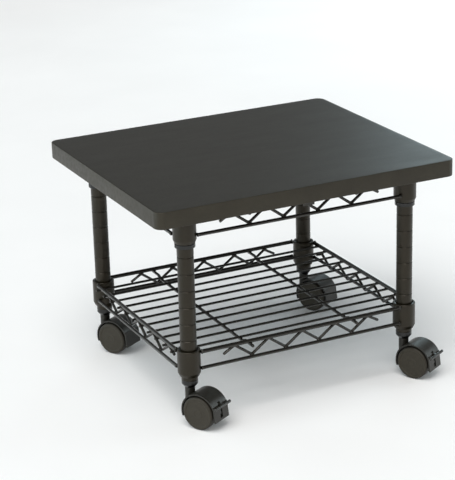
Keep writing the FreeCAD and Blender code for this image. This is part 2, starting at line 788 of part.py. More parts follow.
def make_wheel(corner, sx, sy, name, tilt):
    """One moulded wheel: dished face, crowned tread, rim, web and hub with a blind bore."""
    wheel = turned_body("caster_wheel_%s_%s" % (name, corner), [
        ("0", "dims.wheel_face - dims.wheel_dish"),
        ("dims.wheel_dish_radius - 1", "dims.wheel_face - dims.wheel_dish"),
        ("dims.wheel_dish_radius", "dims.wheel_face"),
        ("dims.wheel_radius - dims.wheel_ease", "dims.wheel_face"),
        ("dims.wheel_radius - dims.wheel_ease * 0.3", "dims.wheel_face - dims.wheel_ease * 0.4"),
        ("dims.wheel_radius", "dims.wheel_face - dims.wheel_ease"),
        ("dims.wheel_radius", "dims.wheel_back + 1"),
        ("dims.wheel_radius - 1", "dims.wheel_back"),
        ("dims.wheel_radius - dims.wheel_rim", "dims.wheel_back"),
        ("dims.wheel_radius - dims.wheel_rim", "dims.wheel_face - dims.wheel_web"),
        ("dims.wheel_hub_radius", "dims.wheel_face - dims.wheel_web"),
        ("dims.wheel_hub_radius", "dims.wheel_hub_back"),
        ("dims.axle_radius + dims.running_gap", "dims.wheel_hub_back"),
        ("dims.axle_radius + dims.running_gap", "dims.axle_half + dims.end_gap"),
        ("0", "dims.axle_half + dims.end_gap"),
    ])
    wheel.Placement = caster_place(sx, sy, size("trail"), size("wheel_radius"), tilt)
    keep(wheel)


def make_brake(corner, sx, sy):
    """Foot lever with a cross bar and a leg in the hood's slot, on its own pin."""
    lever = new_body("brake_lever_" + corner)
    hub_x = size("trail") + size("lever_x")
    hub_z = size("wheel_radius") + size("lever_z")
    hub = size("lever_hub")
    bar_x = size("trail") + size("lever_bar_x")
    leg_back = size("trail") + size("lever_leg_x") - size("lever_leg_depth")
    leg_front = size("trail") + size("lever_leg_x")
    leg_foot = hub_z - size("lever_leg_drop")
    arm_half = size("lever_arm_half")
    lean = size("lever_leg_lean")
    side = new_sketch(lever, "side", "XZ_Plane")
    corners = [
        Vector(hub_x, hub_z + hub, 0),
        Vector(bar_x, hub_z + arm_half, 0),
        Vector(bar_x, hub_z - arm_half, 0),
        Vector(leg_front, hub_z - arm_half - 1.0, 0),
        Vector(leg_front + lean, leg_foot, 0),
        Vector(leg_back + lean, leg_foot, 0),
        Vector(leg_back, hub_z - hub, 0),
        Vector(hub_x, hub_z - hub, 0),
    ]
    curves = [Part.LineSegment(a, b) for a, b in zip(corners, corners[1:])]
    curves.append(Part.Arc(corners[-1], Vector(hub_x - hub, hub_z, 0), corners[0]))
    draw_fixed(side, curves)
    pad(lever, side, "2 * dims.lever_half", middle=True)
    doc.recompute()
    bar = new_sketch(lever, "bar", "XZ_Plane")
    draw_circle(bar, "dims.trail + dims.lever_bar_x", "dims.wheel_radius + dims.lever_z",
                "dims.lever_bar_radius")
    pad(lever, bar, "2 * dims.lever_bar_half", middle=True)
    bore = new_sketch(lever, "bore", "XZ_Plane")
    draw_circle(bore, "dims.trail + dims.lever_x", "dims.wheel_radius + dims.lever_z",
                "dims.pin_radius + dims.running_gap")
    pocket(lever, bore, "3 * dims.lever_half", middle=True)
    lever.Placement = caster_place(sx, sy)
    keep(lever)

    length = "2 * dims.hood_web_half - 0.4"
    pin = rod("brake_pin_" + corner, "dims.pin_radius", length, Vector(0, 0, 1))
    tilt = Rotation(Vector(1, 0, 0), -90.0)
    place = caster_place(sx, sy, hub_x, hub_z, tilt)
    half = size("hood_web_half") - 0.2
    place.Base = place.Base - place.Rotation.multVec(Vector(0, 0, half))
    pin.Placement = place
    keep(pin)


def make_caster(corner, sx, sy):
    braked = sy < 0
    make_hood(corner, sx, sy, braked)
    make_stem(corner, sx, sy)
    make_axle(corner, sx, sy)
    make_wheel(corner, sx, sy, "right", Rotation(Vector(1, 0, 0), -90.0))
    make_wheel(corner, sx, sy, "left", Rotation(Vector(1, 0, 0), 90.0))
    if braked:
        make_brake(corner, sx, sy)


# ---------------------------------------------------------------- build, check, write


def check(things):
    """Stop on any failed object or any sub-part without a valid solid shape."""
    for thing in doc.Objects:
        if "Invalid" in thing.State or "Error" in thing.State:
            raise RuntimeError("failed object " + thing.Label)
    for thing in things:
        if thing.Shape.isNull() or not thing.Shape.isValid() or not thing.Shape.Solids:
            raise RuntimeError("bad shape in " + thing.Label)


def main():
    fill_sheet()
    make_board()
    make_brackets()
    for shelf in ("upper", "lower"):
        make_shelf(shelf)
    make_post_ends()
    for corner, (sx, sy) in CORNERS.items():
        make_post(corner, sx, sy)
        make_caster(corner, sx, sy)
    doc.recompute()
    check(sub_parts)
    os.makedirs("parts", exist_ok=True)
    for thing in sub_parts:
        thing.Shape.exportStep(os.path.join("parts", thing.Label + ".step"))
        print("%-34s solids %2d  volume %10.1f" % (thing.Label, len(thing.Shape.Solids),
                                                  thing.Shape.Volume))


main()
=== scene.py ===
"""Looks of the mobile printer stand: laminated top, two wire shelves, grooved posts and casters."""

import math
import random

import bmesh
import bpy
from mathutils import Matrix, Vector


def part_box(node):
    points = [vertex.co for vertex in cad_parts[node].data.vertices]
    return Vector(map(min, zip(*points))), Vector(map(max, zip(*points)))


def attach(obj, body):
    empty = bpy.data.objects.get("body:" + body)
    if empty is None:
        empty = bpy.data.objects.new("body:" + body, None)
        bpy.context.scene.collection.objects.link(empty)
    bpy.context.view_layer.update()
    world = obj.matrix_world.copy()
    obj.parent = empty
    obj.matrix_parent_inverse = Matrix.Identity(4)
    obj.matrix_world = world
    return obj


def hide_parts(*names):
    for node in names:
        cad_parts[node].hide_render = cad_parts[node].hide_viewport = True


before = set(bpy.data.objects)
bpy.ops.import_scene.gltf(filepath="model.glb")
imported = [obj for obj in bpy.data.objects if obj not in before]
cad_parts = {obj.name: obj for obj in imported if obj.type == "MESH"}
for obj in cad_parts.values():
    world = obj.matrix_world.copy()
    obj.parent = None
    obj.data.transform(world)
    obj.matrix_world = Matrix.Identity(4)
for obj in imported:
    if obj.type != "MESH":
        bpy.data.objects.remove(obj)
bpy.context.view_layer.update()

MM = 0.001
CORNERS = ("front_left", "front_right", "rear_left", "rear_right")
BRAKED = ("front_left", "front_right")
SHELVES = ("lower", "upper")
# degrees from +X to the way the parked casters trail
CASTER_TURN = -60.0

# camera: angles in degrees, yaw to the right of straight ahead, distances in metres, lens in mm
CAMERA_YAW = 25.9
CAMERA_PITCH = 19.8
CAMERA_ROLL = 1.6
CAMERA_DISTANCE = 2.70
CAMERA_AIM = (-0.037, 0.008, 0.205)
CAMERA_LENS = 132.5


# ---------------------------------------------------------------- mesh helpers


def new_piece(name, bm, material, body, stands_for, place=None, sharp=35.0):
    """Finished object from a bmesh: sharp past an angle, on its body, in place of its CAD nodes."""
    bmesh.ops.recalc_face_normals(bm, faces=bm.faces)
    mesh = bpy.data.meshes.new(name)
    bm.to_mesh(mesh)
    bm.free()
    mesh.polygons.foreach_set("use_smooth", [True] * len(mesh.polygons))
    mesh.set_sharp_from_angle(angle=math.radians(sharp))
    piece = bpy.data.objects.new(name, mesh)
    bpy.context.scene.collection.objects.link(piece)
    mesh.materials.append(material)
    if place is not None:
        piece.matrix_world = place
    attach(piece, body)
    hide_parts(*stands_for)


def soften(corners, steps=3):
    """Closed outline of (x, y, ease) corners with each corner rounded by its ease."""
    outline = []
    count = len(corners)
    for i, (x, y, ease) in enumerate(corners):
        here = Vector((x, y))
        back = Vector(corners[i - 1][:2]) - here
        ahead = Vector(corners[(i + 1) % count][:2]) - here
        if ease <= 0.0:
            outline.append((x, y))
            continue
        angle = back.angle(ahead)
        reach = min(ease / math.tan(angle / 2), 0.45 * back.length, 0.45 * ahead.length)
        start = here + back.normalized() * reach
        end = here + ahead.normalized() * reach
        for k in range(steps + 1):
            t = k / steps
            point = start * (1 - t) ** 2 + here * 2 * t * (1 - t) + end * t ** 2
            outline.append((point.x, point.y))
    return outline


def turned(bm, outline, segments, centre=(0.0, 0.0, 0.0), start=0.0, sweep=360.0):
    """Closed (radius, height) outline turned about the vertical axis through centre."""
    whole = abs(sweep - 360.0) < 0.01
    columns = segments if whole else segments + 1
    origin = Vector(centre)
    rings = []
    for radius, height in outline:
        if radius < 1e-7:
            pole = bm.verts.new(origin + Vector((0.0, 0.0, height)))
            rings.append([pole] * columns)
            continue
        ring = []
        for k in range(columns):
            a = math.radians(start + sweep * k / segments)
            offset = Vector((radius * math.cos(a), radius * math.sin(a), height))
            ring.append(bm.verts.new(origin + offset))
        rings.append(ring)
    for i, low in enumerate(rings):
        high = rings[(i + 1) % len(rings)]
        for k in range(segments):
            after = (k + 1) % columns
            corners = []
            for vert in (low[k], low[after], high[after], high[k]):
                if vert not in corners:
                    corners.append(vert)
            if len(corners) > 2:
                bm.faces.new(corners)
    if not whole:
        for k in (0, columns - 1):
            bm.faces.new([ring[k] for ring in rings])


def rounded_path(points, bend, steps=6):
    """Points of a path whose corners are rounded to a bend radius."""
    path = [Vector(points[0])]
    for before, here, after in zip(points, points[1:], points[2:]):
        here = Vector(here)
        back = Vector(before) - here
        ahead = Vector(after) - here
        half = back.angle(ahead) / 2
        reach = min(bend / math.tan(half), 0.45 * back.length, 0.45 * ahead.length)
        radius = reach * math.tan(half)
        middle = here + (back.normalized() + ahead.normalized()).normalized() * radius / math.sin(half)
        start = here + back.normalized() * reach - middle
        end = here + ahead.normalized() * reach - middle
        turn = start.angle(end)
        for k in range(steps + 1):
            t = k / steps
            weight = math.sin((1 - t) * turn), math.sin(t * turn)
            path.append(middle + (start * weight[0] + end * weight[1]) / math.sin(turn))
    path.append(Vector(points[-1]))
    return path


# a domed wire end: (share of the dome's depth, share of the wire's radius), from the tip inward
DOME = ((0.0, 0.55), (0.35, 0.88), (1.0, 1.0))


def tube(bm, path, radius, sides, dome):
    """Round wire along a path, with its cut ends domed to a depth of dome radii."""
    path = [Vector(point) for point in path]
    first = (path[1] - path[0]).normalized()
    last = (path[-1] - path[-2]).normalized()
    stations = [(path[0] + first * radius * dome * depth, grow) for depth, grow in DOME]
    stations += [(point, 1.0) for point in path[1:-1]]
    stations += [(path[-1] - last * radius * dome * depth, grow) for depth, grow in reversed(DOME)]
    spots = [spot for spot, grow in stations]
    across = first.orthogonal().normalized()
    heading = first
    rings = []
    for i, (spot, grow) in enumerate(stations):
        ahead = (spots[min(i + 1, len(spots) - 1)] - spots[max(i - 1, 0)]).normalized()
        across = heading.rotation_difference(ahead) @ across
        heading = ahead
        up = heading.cross(across).normalized()
        across = up.cross(heading).normalized()
        ring = []
        for k in range(sides):
            a = 2 * math.pi * k / sides
            offset = across * math.cos(a) + up * math.sin(a)
            ring.append(bm.verts.new(spot + offset * radius * grow))
        rings.append(ring)
    for low, high in zip(rings, rings[1:]):
        for k in range(sides):
            after = (k + 1) % sides
            bm.faces.new((low[k], low[after], high[after], high[k]))
    bm.faces.new(rings[0])
    bm.faces.new(rings[-1])


def weld(bm, spot, along, size):
    """Small melted bead at a crossing: a squashed lump whose surface is uneven."""
    lump = bmesh.ops.create_icosphere(bm, subdivisions=2, radius=1.0)["verts"]
    turn = Vector((0.0, 0.0, 1.0)).rotation_difference(Vector(along).normalized()).to_matrix()
    wave = [random.uniform(0.0, 6.28) for _ in range(3)]
    for vert in lump:
        x, y, z = vert.co
        swell = 1.0 + 0.07 * math.sin(3 * x + wave[0]) + 0.06 * math.sin(4 * y + wave[1])
        swell += 0.05 * math.sin(5 * z + wave[2])
        shaped = Vector((x * size[0], y * size[1], z * size[2])) * swell
        vert.co = Vector(spot) + turn @ shaped


def rounded_loop(low, high, inset, corner, level, steps=10):
    """Points of a rounded rectangle at a level, pulled in by an inset."""
    radius = max(corner - inset, 0.4 * MM)
    loop = []
    arcs = (
        (high.x, high.y, 0.0),
        (low.x, high.y, 90.0),
        (low.x, low.y, 180.0),
        (high.x, low.y, 270.0),
    )
    middle = (Vector((low.x, low.y, 0.0)) + Vector((high.x, high.y, 0.0))) / 2
    for x, y, start in arcs:
        cx = x - math.copysign(inset + radius, x - middle.x)
        cy = y - math.copysign(inset + radius, y - middle.y)
        for k in range(steps + 1):
            a = math.radians(start + 90.0 * k / steps)
            loop.append(Vector((cx + radius * math.cos(a), cy + radius * math.sin(a), level)))
    return loop


def loft(bm, loops, ring=False):
    """Skin through closed loops of the same count, capped, or closed back to the first as a ring."""
    rings = [[bm.verts.new(point) for point in loop] for loop in loops]
    count = len(rings[0])
    following = rings[1:] + rings[:1] if ring else rings[1:]
    for low, high in zip(rings, following):
        for k in range(count):
            after = (k + 1) % count
            bm.faces.new((low[k], low[after], high[after], high[k]))
    if not ring:
        bm.faces.new(rings[0])
        bm.faces.new(rings[-1])


# ---------------------------------------------------------------- materials


def node(tree, kind, **inputs):
    """A shader node with its input values set by name."""
    made = tree.nodes.new("ShaderNode" + kind)
    for name, value in inputs.items():
        made.inputs[name.replace("_", " ")].default_value = value
    return made


def linear(red, green, blue):
    """Shader colour of a 0 to 255 screen colour."""
    def level(value):
        value /= 255.0
        return value / 12.92 if value <= 0.04045 else ((value + 0.055) / 1.055) ** 2.4
    return (level(red), level(green), level(blue), 1.0)


def noise_of(tree, coords, scale, detail=3.0, rough=0.55, stretch=(1.0, 1.0, 1.0)):
    """A noise that may be stretched along an axis."""
    mapping = node(tree, "Mapping")
    mapping.inputs["Scale"].default_value = stretch
    tree.links.new(coords, mapping.inputs["Vector"])
    noise = node(tree, "TexNoise", Scale=scale, Detail=detail, Roughness=rough)
    tree.links.new(mapping.outputs["Vector"], noise.inputs["Vector"])
    return noise.outputs["Fac"]


def ramp_of(tree, factor, stops):
    """Colour ramp over a factor from (place, colour) stops."""
    ramp = node(tree, "ValToRGB")
    while len(ramp.color_ramp.elements) < len(stops):
        ramp.color_ramp.elements.new(0.5)
    for element, (place, colour) in zip(ramp.color_ramp.elements, stops):
        element.position = place
        element.color = colour
    tree.links.new(factor, ramp.inputs["Fac"])
    return ramp.outputs["Color"]


def spread(tree, factor, low, high, start=0.3, end=0.7):
    """Range of a noise mapped to low..high."""
    made = node(tree, "MapRange")
    made.inputs["From Min"].default_value = start
    made.inputs["From Max"].default_value = end
    made.inputs["To Min"].default_value = low
    made.inputs["To Max"].default_value = high
    tree.links.new(factor, made.inputs["Value"])
    return made.outputs["Result"]


def mixed(tree, factor, first, second):
    """Colour mix of two colours or sockets."""
    mix = tree.nodes.new("ShaderNodeMix")
    mix.data_type = "RGBA"
    for socket, value in ((mix.inputs[6], first), (mix.inputs[7], second)):
        if isinstance(value, tuple):
            socket.default_value = value
        else:
            tree.links.new(value, socket)
    tree.links.new(factor, mix.inputs["Factor"])
    return mix.outputs[2]


def bumped(tree, shader, layers):
    """Bump layers of (height, strength, distance) stacked into the shader's normal."""
    normal = None
    for height, strength, distance in layers:
        bump = node(tree, "Bump", Strength=strength, Distance=distance)
        tree.links.new(height, bump.inputs["Height"])
        if normal is not None:
            tree.links.new(normal, bump.inputs["Normal"])
        normal = bump.outputs["Normal"]
    tree.links.new(normal, shader.inputs["Normal"])


def upward(tree):
    """How far the surface faces up, 0 to 1."""
    geometry = node(tree, "NewGeometry")
    parts = node(tree, "SeparateXYZ")
    tree.links.new(geometry.outputs["Normal"], parts.inputs["Vector"])
    return spread(tree, parts.outputs["Z"], 0.0, 1.0, 0.35, 1.0)


def times(tree, first, second):
    """Product of a socket and a number or another socket."""
    made = node(tree, "Math")
    made.operation = "MULTIPLY"
    tree.links.new(first, made.inputs[0])
    if isinstance(second, float):
        made.inputs[1].default_value = second
    else:
        tree.links.new(second, made.inputs[1])
    return made.outputs["Value"]


def start_material(name):
    """A new material with its tree, its shader and the object coordinates."""
    material = bpy.data.materials.new(name)
    material.use_nodes = True
    tree = material.node_tree
    shader = tree.nodes["Principled BSDF"]
    coords = node(tree, "TexCoord").outputs["Object"]
    return material, tree, shader, coords


def coated(name, deep, pale, rough, grain, peel, dust, specular=0.42, tint=(1.0, 0.92, 0.80)):
    """Paint or moulded plastic: colour drift, orange peel, fine grain, scuffs and settled dust."""
    material, tree, shader, coords = start_material(name)
    drift = noise_of(tree, coords, 22.0)
    fine = noise_of(tree, coords, grain, 4.0, 0.6)
    mottle = noise_of(tree, coords, 160.0, 5.0, 0.62)
    base = ramp_of(tree, drift, ((0.30, deep), (0.70, pale)))
    speck = ramp_of(tree, fine, ((0.42, deep), (0.66, pale)))
    base = mixed(tree, spread(tree, mottle, 0.15, 0.55), base, speck)
    scuff = noise_of(tree, coords, 75.0, 6.0, 0.72, (1.0, 1.0, 0.35))
    scuffed = spread(tree, scuff, 0.0, 0.35, 0.64, 0.80)
    base = mixed(tree, scuffed, base, tuple(1.7 * c + 0.003 for c in pale[:3]) + (1.0,))
    settled = times(tree, times(tree, upward(tree), spread(tree, mottle, 0.3, 1.0)), dust)
    base = mixed(tree, settled, base, linear(104, 102, 96))
    tree.links.new(base, shader.inputs["Base Color"])
    tree.links.new(spread(tree, mottle, rough - 0.06, rough + 0.08), shader.inputs["Roughness"])
    shader.inputs["Specular IOR Level"].default_value = specular
    shader.inputs["Specular Tint"].default_value = (*tint, 1.0)
    wave = noise_of(tree, coords, 420.0, 2.0, 0.5)
    bumped(tree, shader, ((wave, peel, 0.00025), (fine, peel * 0.8, 0.00008)))
    return material


def laminate_material():
    """Charcoal melamine with a fine pebbled press texture and faint cloudiness."""
    material, tree, shader, coords = start_material("charcoal_laminate")
    cloud = noise_of(tree, coords, 9.0, 4.0, 0.6)
    fleck = noise_of(tree, coords, 620.0, 3.0, 0.7)
    pebble = node(tree, "TexVoronoi", Scale=780.0)
    tree.links.new(coords, pebble.inputs["Vector"])
    base = ramp_of(tree, cloud, ((0.28, linear(27, 25, 17)), (0.72, linear(35, 33, 25))))
    speck = ramp_of(tree, fleck, ((0.45, linear(20, 19, 12)), (0.62, linear(47, 46, 38))))
    base = mixed(tree, spread(tree, cloud, 0.45, 0.8), base, speck)
    rubbed = noise_of(tree, coords, 26.0, 5.0, 0.7, (0.3, 1.0, 1.0))
    base = mixed(tree, spread(tree, rubbed, 0.0, 0.10, 0.55, 0.78), base, linear(62, 63, 58))
    tree.links.new(base, shader.inputs["Base Color"])
    tree.links.new(spread(tree, rubbed, 0.37, 0.43), shader.inputs["Roughness"])
    shader.inputs["Specular IOR Level"].default_value = 0.45
    bumped(tree, shader, ((pebble.outputs["Distance"], 0.30, 0.00015), (fleck, 0.20, 0.00008)))
    return material


def backer_material():
    """Underside of the panel: pressed chips showing faintly through a dark sealing coat."""
    material, tree, shader, coords = start_material("sealed_chipboard")
    chips = node(tree, "TexVoronoi", Scale=260.0, Randomness=1.0)
    tree.links.new(coords, chips.inputs["Vector"])
    mottle = noise_of(tree, coords, 140.0, 6.0, 0.7)
    tones = ((0.1, linear(50, 46, 38)), (0.7, linear(70, 64, 54)))
    tone = ramp_of(tree, chips.outputs["Distance"], tones)
    chip = ramp_of(tree, mottle, ((0.35, linear(44, 40, 33)), (0.65, linear(84, 76, 63))))
    base = mixed(tree, spread(tree, mottle, 0.25, 0.7), tone, chip)
    tree.links.new(base, shader.inputs["Base Color"])
    tree.links.new(spread(tree, mottle, 0.62, 0.8), shader.inputs["Roughness"])
    bumped(tree, shader, ((chips.outputs["Distance"], 0.25, 0.0003), (mottle, 0.3, 0.00015)))
    return material


def wheel_material():
    """Moulded nylon wheel: turned rings on the face, grime at the tread and a scuffed rim."""
    material, tree, shader, coords = start_material("wheel_nylon")
    parts = node(tree, "SeparateXYZ")
    tree.links.new(coords, parts.inputs["Vector"])
    flat = node(tree, "CombineXYZ")
    tree.links.new(parts.outputs["X"], flat.inputs["X"])
    tree.links.new(parts.outputs["Y"], flat.inputs["Y"])
    length = node(tree, "VectorMath")
    length.operation = "LENGTH"
    tree.links.new(flat.outputs["Vector"], length.inputs[0])
    radius = length.outputs["Value"]
    rings = node(tree, "TexWave", Scale=260.0, Distortion=0.6)
    rings.wave_type = "RINGS"
    rings.rings_direction = "Z"
    tree.links.new(coords, rings.inputs["Vector"])
    mottle = noise_of(tree, coords, 240.0, 5.0, 0.65)
    base = ramp_of(tree, mottle, ((0.32, linear(34, 31, 24)), (0.68, linear(48, 44, 36))))
    grime = times(tree, spread(tree, radius, 0.0, 1.0, 0.0225, 0.0248), spread(tree, mottle, 0.35, 1.0))
    base = mixed(tree, grime, base, linear(20, 18, 14))
    tree.links.new(base, shader.inputs["Base Color"])
    tree.links.new(spread(tree, mottle, 0.46, 0.62), shader.inputs["Roughness"])
    shader.inputs["Specular IOR Level"].default_value = 0.4
    shader.inputs["Specular Tint"].default_value = (1.0, 0.94, 0.84, 1.0)
    bumped(tree, shader, ((rings.outputs["Fac"], 0.10, 0.00006), (mottle, 0.22, 0.0001)))
    return material


def zinc_material():
    """Bright zinc plating with a brushed direction and cloudy patches."""
    material, tree, shader, coords = start_material("zinc_plate")
    brushed = noise_of(tree, coords, 700.0, 3.0, 0.6, (1.0, 1.0, 0.12))
    cloud = noise_of(tree, coords, 90.0, 4.0, 0.6)
    base = ramp_of(tree, cloud, ((0.3, linear(168, 170, 172)), (0.7, linear(204, 205, 202))))
    tree.links.new(base, shader.inputs["Base Color"])
    tree.links.new(spread(tree, cloud, 0.24, 0.42), shader.inputs["Roughness"])
    shader.inputs["Metallic"].default_value = 1.0
    bumped(tree, shader, ((brushed, 0.25, 0.00005),))
    return material


LOOKS = {
    "top_laminate": laminate_material(),
    "particleboard": backer_material(),
    "edge_band": coated("edge_band_pvc", linear(30, 28, 22), linear(42, 40, 32),
                        0.44, 1500.0, 0.14, 0.06),
    "zinc_steel": zinc_material(),
    "coated_wire": coated("coated_wire", linear(6, 5, 3), linear(13, 11, 7),
                          0.18, 1100.0, 0.16, 0.08, 0.6, (1.0, 0.97, 0.90)),
    "coated_collar": coated("coated_collar", linear(16, 13, 6), linear(26, 22, 12),
                            0.34, 1300.0, 0.14, 0.06),
    "coated_post": coated("coated_post", linear(15, 12, 5), linear(25, 21, 11),
                          0.32, 1300.0, 0.14, 0.06),
    "sleeve_plastic": coated("sleeve_plastic", linear(7, 7, 6), linear(13, 13, 11),
                             0.20, 1600.0, 0.08, 0.04, 0.5, (1.0, 1.0, 1.0)),
    "hood_nylon": coated("hood_nylon", linear(15, 14, 10), linear(26, 24, 18),
                         0.36, 900.0, 0.45, 0.08, 0.5, (1.0, 0.98, 0.94)),
    "wheel_nylon": wheel_material(),
    "lever_plastic": coated("lever_plastic", linear(26, 26, 22), linear(40, 40, 36),
                            0.24, 1400.0, 0.10, 0.08, 0.6, (1.0, 1.0, 1.0)),
}


# ---------------------------------------------------------------- laminated top


TOP_CORNER = 13.0 * MM
BAND_THICKNESS = 1.0 * MM
BAND_FOOT_EASE = 0.9 * MM
BAND_RIM_EASE = 0.7 * MM
CORE_EASE = 0.25 * MM


def make_board():
    """Sealed panel, its edge banding and the laminate sheet, with a fine seam between the last two."""
    core_low, core_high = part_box("board_core")
    band_low, band_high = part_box("board_edge_band")
    skin_low, skin_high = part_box("board_top_laminate")
    inner = TOP_CORNER - BAND_THICKNESS

    bm = bmesh.new()
    loft(bm, [
        rounded_loop(core_low, core_high, CORE_EASE, inner, core_low.z),
        rounded_loop(core_low, core_high, 0.0, inner, core_low.z + CORE_EASE),
        rounded_loop(core_low, core_high, 0.0, inner, core_high.z),
    ])
    new_piece("board_panel", bm, LOOKS["particleboard"], "stand", ["board_core"])

    bm = bmesh.new()
    loops = []
    for k in range(5):
        a = math.radians(22.5 * k)
        loops.append(rounded_loop(band_low, band_high, BAND_FOOT_EASE * (1 - math.sin(a)),
                                  TOP_CORNER, band_low.z + BAND_FOOT_EASE * (1 - math.cos(a))))
    for k in range(5):
        a = math.radians(22.5 * k)
        loops.append(rounded_loop(band_low, band_high, BAND_RIM_EASE * (1 - math.cos(a)),
                                  TOP_CORNER, band_high.z - BAND_RIM_EASE * (1 - math.sin(a))))
    for inset, level in ((0.9 * MM, band_high.z), (BAND_THICKNESS, band_high.z - 0.15 * MM),
                         (BAND_THICKNESS, band_low.z)):
        loops.append(rounded_loop(band_low, band_high, inset, TOP_CORNER, level))
    loft(bm, loops, ring=True)
    new_piece("board_edging", bm, LOOKS["edge_band"], "stand", ["board_edge_band"])

    bm = bmesh.new()
    loops = [rounded_loop(skin_low, skin_high, 0.0, inner, skin_low.z)]
    for inset, drop in ((0.02, 0.30), (0.10, 0.12), (0.25, 0.03), (0.50, 0.0), (6.0, 0.0)):
        loops.append(rounded_loop(skin_low, skin_high, inset * MM, inner, skin_high.z - drop * MM))
    loft(bm, loops)
    new_piece("board_laminate", bm, LOOKS["top_laminate"], "stand",
              ["board_top_laminate"])


# ---------------------------------------------------------------- posts, collars and sleeves


POST_WALL = 1.2 * MM
GROOVE_COUNT = 10
GROOVE_PITCH = 25.4 * MM
FIRST_GROOVE = 11.4 * MM
GROOVE_DEPTH = 0.8 * MM
GROOVE_HALF = 1.1 * MM
GROOVE_FLOOR_HALF = 0.4 * MM


def post_axis(corner):
    """Where a post's axis stands, as (x, y)."""
    low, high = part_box("post_" + corner)
    return (low.x + high.x) / 2, (low.y + high.y) / 2


def make_posts():
    """Tubes with a rolled groove every inch."""
    for corner in CORNERS:
        low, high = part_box("post_" + corner)
        radius = (high.x - low.x) / 2
        bore = radius - POST_WALL
        outline = [(bore, low.z, 0.2 * MM), (radius, low.z, 0.5 * MM)]
        level = low.z + FIRST_GROOVE
        for _ in range(GROOVE_COUNT):
            outline.append((radius, level - GROOVE_HALF, 0.25 * MM))
            outline.append((radius - GROOVE_DEPTH, level - GROOVE_FLOOR_HALF, 0.15 * MM))
            outline.append((radius - GROOVE_DEPTH, level + GROOVE_FLOOR_HALF, 0.15 * MM))
            outline.append((radius, level + GROOVE_HALF, 0.25 * MM))
            level += GROOVE_PITCH
        outline += [(radius, high.z, 0.5 * MM), (bore, high.z, 0.2 * MM)]
        bm = bmesh.new()
        turned(bm, soften(outline), 56, (*post_axis(corner), 0.0))
        new_piece("grooved_post_" + corner, bm, LOOKS["coated_post"], "stand",
                  ["post_" + corner], sharp=50.0)


def make_collars(shelf):
    """Tapered-foot collars with eased rims and a shallow step inside the top."""
    name = shelf + "_shelf_collars"
    low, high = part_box(name)
    bm = bmesh.new()
    for corner in CORNERS:
        outline = [
            (14.2 * MM, low.z, 0.3 * MM),
            (14.6 * MM, low.z, 0.25 * MM),
            (17.0 * MM, low.z + 5.5 * MM, 0.9 * MM),
            (17.0 * MM, high.z - 0.6 * MM, 0.5 * MM),
            (16.5 * MM, high.z, 0.4 * MM),
            (14.2 * MM, high.z, 0.5 * MM),
            (13.7 * MM, high.z - 0.8 * MM, 0.3 * MM),
        ]
        turned(bm, soften(outline), 64, (*post_axis(corner), 0.0))
    new_piece(shelf + "_collars", bm, LOOKS["coated_collar"], "stand", [name])


def make_sleeves(shelf):
    """Split tapered sleeves; the halves part in two thin slits."""
    name = shelf + "_shelf_sleeves"
    low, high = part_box(name)
    bm = bmesh.new()
    for corner in CORNERS:
        if shelf == "upper":
            outline = [
                (12.15 * MM, low.z, 0.3 * MM),
                (14.9 * MM, low.z, 0.6 * MM),
                (14.9 * MM, low.z + 5.6 * MM, 0.4 * MM),
                (14.15 * MM, low.z + 6.3 * MM, 0.2 * MM),
                (13.7 * MM, high.z, 0.3 * MM),
                (12.15 * MM, high.z, 0.3 * MM),
            ]
        else:
            outline = [
                (12.15 * MM, low.z, 0.3 * MM),
                (14.1 * MM, low.z, 0.3 * MM),
                (13.65 * MM, high.z, 0.4 * MM),
                (12.15 * MM, high.z, 0.4 * MM),
            ]
        for start in (3.0, 183.0):
            turned(bm, soften(outline), 28, (*post_axis(corner), 0.0), start, 174.0)
    new_piece(shelf + "_sleeves", bm, LOOKS["sleeve_plastic"], "stand", [name])


# ---------------------------------------------------------------- wire shelves

RAIL_HALF_X = 165.5 * MM
RAIL_HALF_Y = 145.5 * MM
TRUSS_PITCH = 55.8 * MM
TRUSS_RADIUS = 2.15 * MM
TRUSS_BEND = 5.0 * MM
TRUSS_END = 130.0 * MM
TRUSS_END_DROP = 9.5 * MM
SIDE_TRUSS_END_DROP = 6.5 * MM
MAT_PITCH = 27.9 * MM
MAT_COUNT = 11
MAT_RADIUS = 1.9 * MM
SUPPORT_RADIUS = 2.4 * MM
SUPPORT_BEND = 5.0 * MM
SUPPORT_WELD_INSET = 8.6 * MM
CRANK_GAP = 5.0 * MM
CRANK_RUN = 10.0 * MM


def rail_lines(node_name):
    """Centre lines of a shelf's four rails as (start, end) pairs, with their radius."""
    low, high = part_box(node_name)
    radius = (high.z - low.z) / 2
    level = (high.z + low.z) / 2
    lines = []
    for y in (low.y + radius, high.y - radius):
        lines.append((Vector((-RAIL_HALF_X, y, level)), Vector((RAIL_HALF_X, y, level))))
    middle = (low.y + high.y) / 2
    for x in (low.x + radius, high.x - radius):
        near, far = middle - RAIL_HALF_Y, middle + RAIL_HALF_Y
        lines.append((Vector((x, near, level)), Vector((x, far, level))))
    return lines, radius


def make_rails(shelf, kind):
    """Straight rails, each end run out onto its collar in a fillet of weld."""
    name = "%s_shelf_%s_rails" % (shelf, kind)
    lines, radius = rail_lines(name)
    bm = bmesh.new()
    for start, end in lines:
        span = (end - start).normalized()
        tube(bm, [start, end], radius, 20, 0.1)
        for spot, away in ((start, span), (end, -span)):
            weld(bm, spot - away * 0.3 * MM, away, (radius * 1.28, radius * 1.28, radius * 0.62))
    new_piece("%s_%s_rails" % (shelf, kind), bm, LOOKS["coated_wire"], "stand", [name],
              sharp=60.0)


